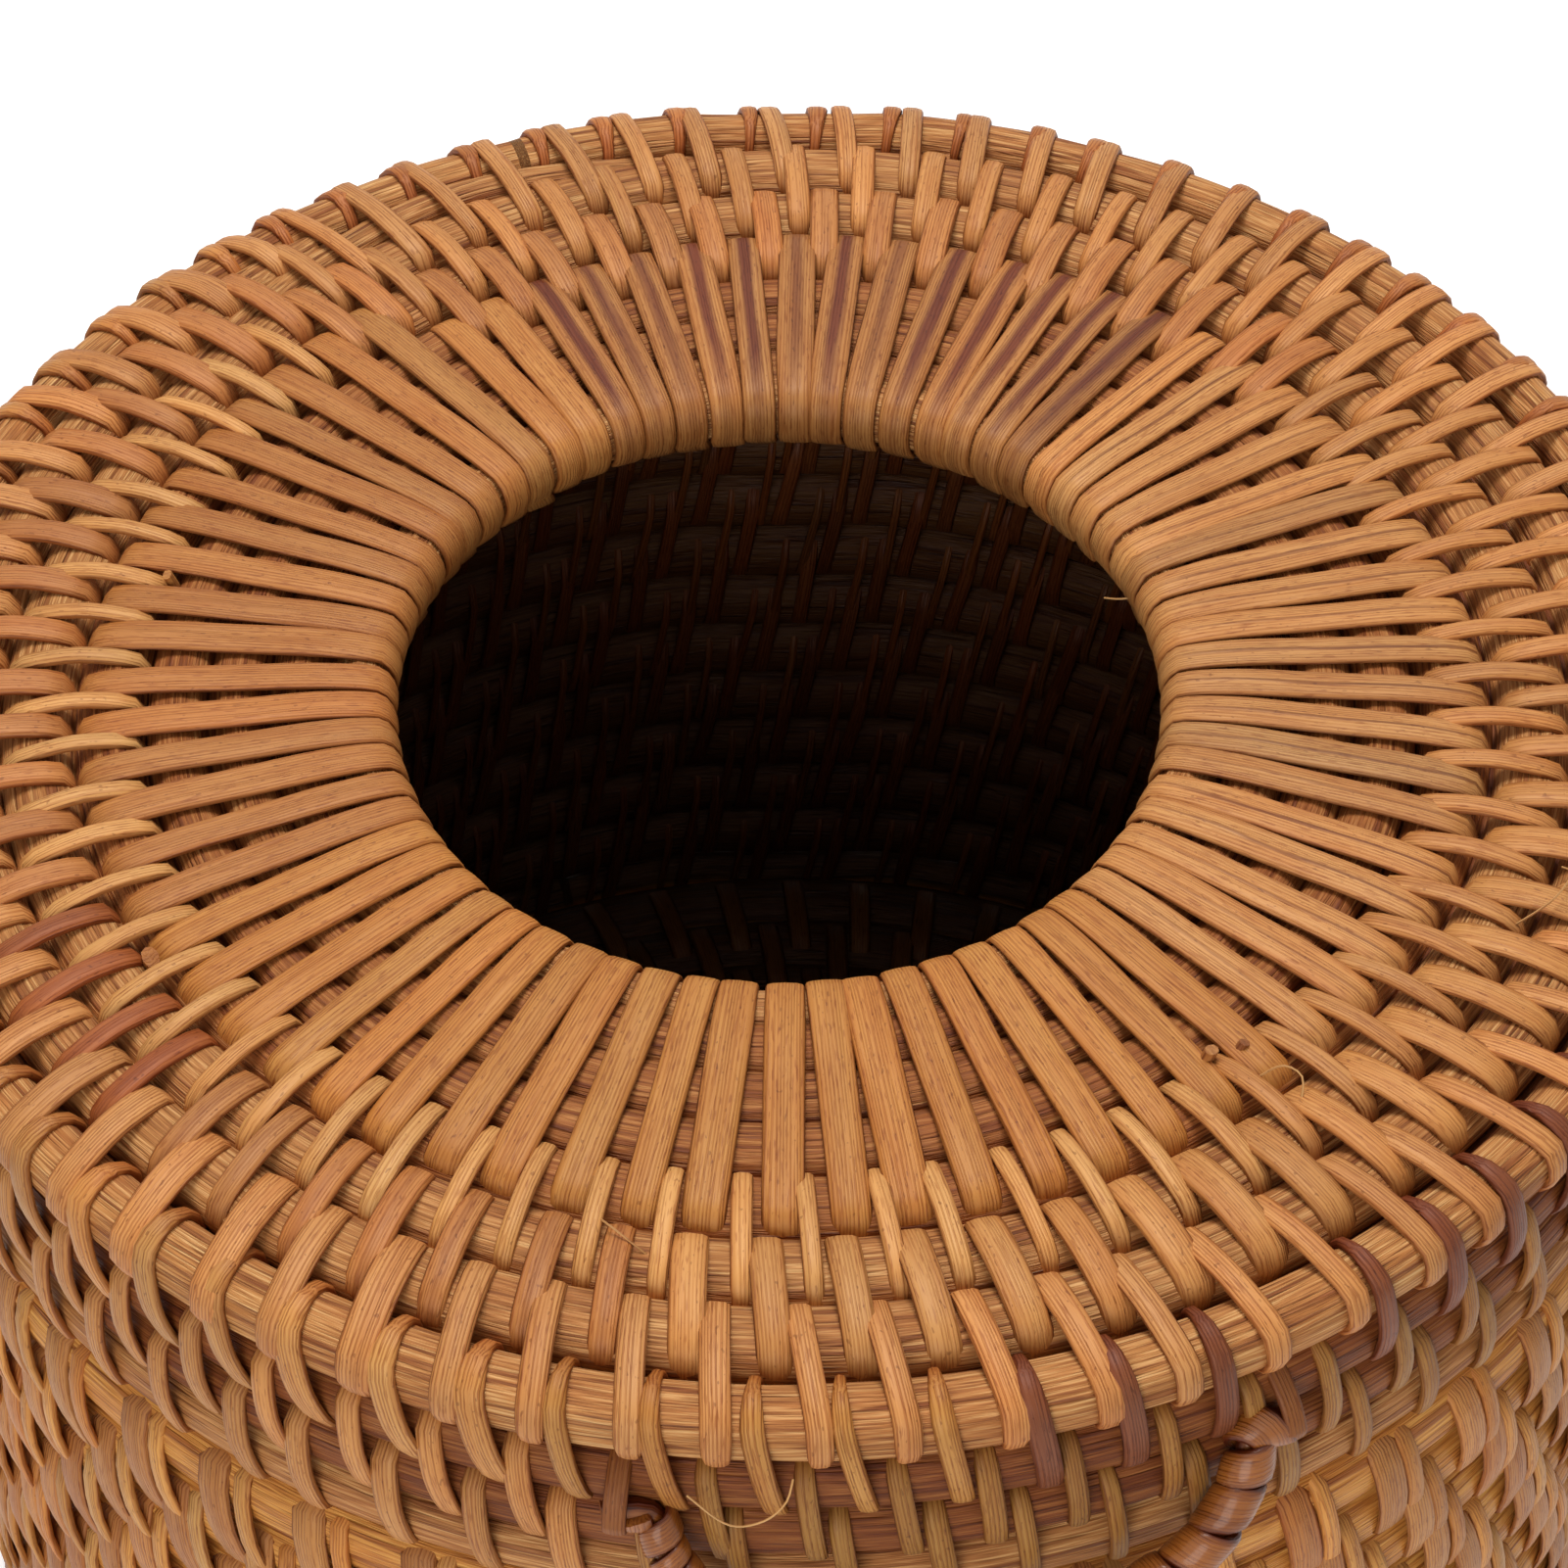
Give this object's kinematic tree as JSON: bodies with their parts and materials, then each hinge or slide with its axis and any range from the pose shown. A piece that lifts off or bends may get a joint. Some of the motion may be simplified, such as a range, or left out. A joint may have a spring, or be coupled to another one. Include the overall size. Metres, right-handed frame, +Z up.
{
  "type": "tissue box cover",
  "caption": "Round coiled-cane tissue box with a hinged lid, a bound round opening in the lid and a wound pull loop at the front.",
  "frame": {"origin": "centre of the base, on the flat underside of the knot that the base coil starts on", "axes": "+Z up; the pull loop is on the front, -Y, and the hinge at the back, +Y; +X is to the right as seen from the front"},
  "size_m": [0.144, 0.1507, 0.1],
  "materials": {
    "golden_rod": "smooth peeled cane rod, golden brown",
    "tan_rod": "fibrous cane core, tan",
    "rim_cane": "rough fibrous cane core, light tan",
    "split_cane": "split cane strip, satin",
    "dark_cane": "split cane strip, dark and glossy",
    "hinge_cane": "split cane strip, brown"
  },
  "bodies": {
    "box": {"foot_rod": "golden_rod", "box_edge_rod": "golden_rod", "wall_coil_upper": "golden_rod", "wall_coil_middle": "golden_rod", "wall_coil_lower": "golden_rod", "base_coil_outer": "golden_rod", "base_coil_inner": "golden_rod", "base_start_knot": "golden_rod", "hinge_ring_left": "hinge_cane", "hinge_ring_right": "hinge_cane"},
    "lid": {"lid_rim_rod": "rim_cane", "lid_edge_rod": "tan_rod", "lid_skirt_coil": "tan_rod", "lid_row_coil": "tan_rod", "lid_bound_coil": "tan_rod", "opening_rod": "tan_rod", "opening_binding": "split_cane", "loop_tie_left": "dark_cane", "loop_tie_right": "dark_cane"},
    "pull_loop": {"loop_core": "dark_cane", "loop_wrap": "dark_cane"}
  },
  "joints": [
    {"name": "lid_hinge", "type": "hinge", "parent": "box", "child": "lid", "pos_m": [0, 0.0694, 0.07985], "axis": [-1, 0, 0], "range_deg": [0, 90]},
    {"name": "loop_swing", "type": "hinge", "parent": "lid", "child": "pull_loop", "pos_m": [0.01114, -0.06837, 0.0892], "axis": [-0.987, -0.1607, 0], "range_deg": [0, 100]}
  ]
}
